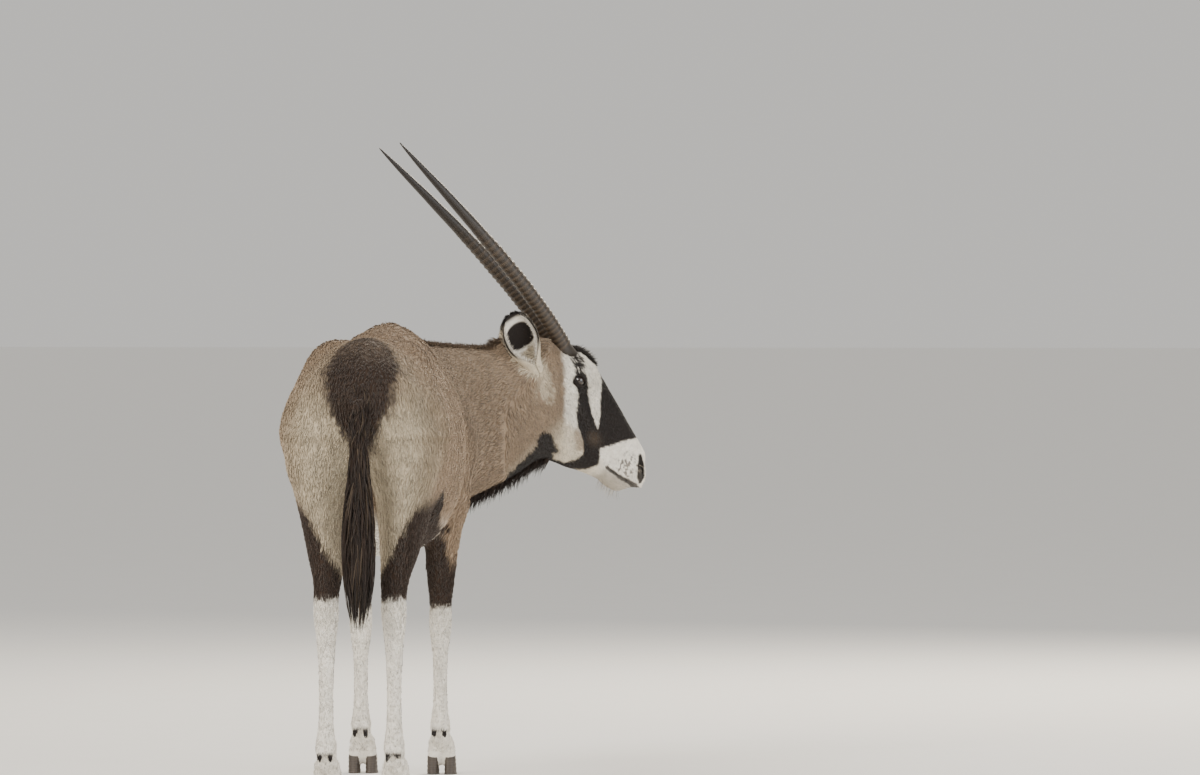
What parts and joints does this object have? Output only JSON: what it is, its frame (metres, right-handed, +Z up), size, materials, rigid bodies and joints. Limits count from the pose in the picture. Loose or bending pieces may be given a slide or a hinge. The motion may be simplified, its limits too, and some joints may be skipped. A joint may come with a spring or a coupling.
{
  "type": "gemsbok model",
  "caption": "Still life-size model of a standing gemsbok, its head turned over its right side, with long straight ringed horns and a hanging black tail.",
  "frame": {"origin": "middle of the outline's box, on the ground under the hooves", "axes": "+Z up, +Y the way the trunk faces, +X the animal's right side"},
  "size_m": [0.8168, 1.8234, 1.6323],
  "materials": {
    "coat": "short grey-tan hair lying close",
    "face": "very short white hair with black marks",
    "legs": "short black and white hair",
    "long_hair": "long dark hair",
    "horn": "dark ringed horn",
    "eye": "wet dark brown eye",
    "hoof": "worn dark hoof horn"
  },
  "bodies": {
    "root": {"torso": "coat", "neck": "coat", "head": "face", "ear_right": "coat", "ear_left": "coat", "eye_right": "eye", "eye_left": "eye", "horn_right": "horn", "horn_left": "horn", "foreleg_right": "legs", "foreleg_left": "legs", "hindleg_right": "legs", "hindleg_left": "legs", "hoof_foreleg_right_outer": "hoof", "hoof_foreleg_right_inner": "hoof", "hoof_foreleg_left_outer": "hoof", "hoof_foreleg_left_inner": "hoof", "hoof_hindleg_right_outer": "hoof", "hoof_hindleg_right_inner": "hoof", "hoof_hindleg_left_outer": "hoof", "hoof_hindleg_left_inner": "hoof", "tail_dock": "long_hair", "tail_switch": "long_hair"}
  },
  "joints": []
}
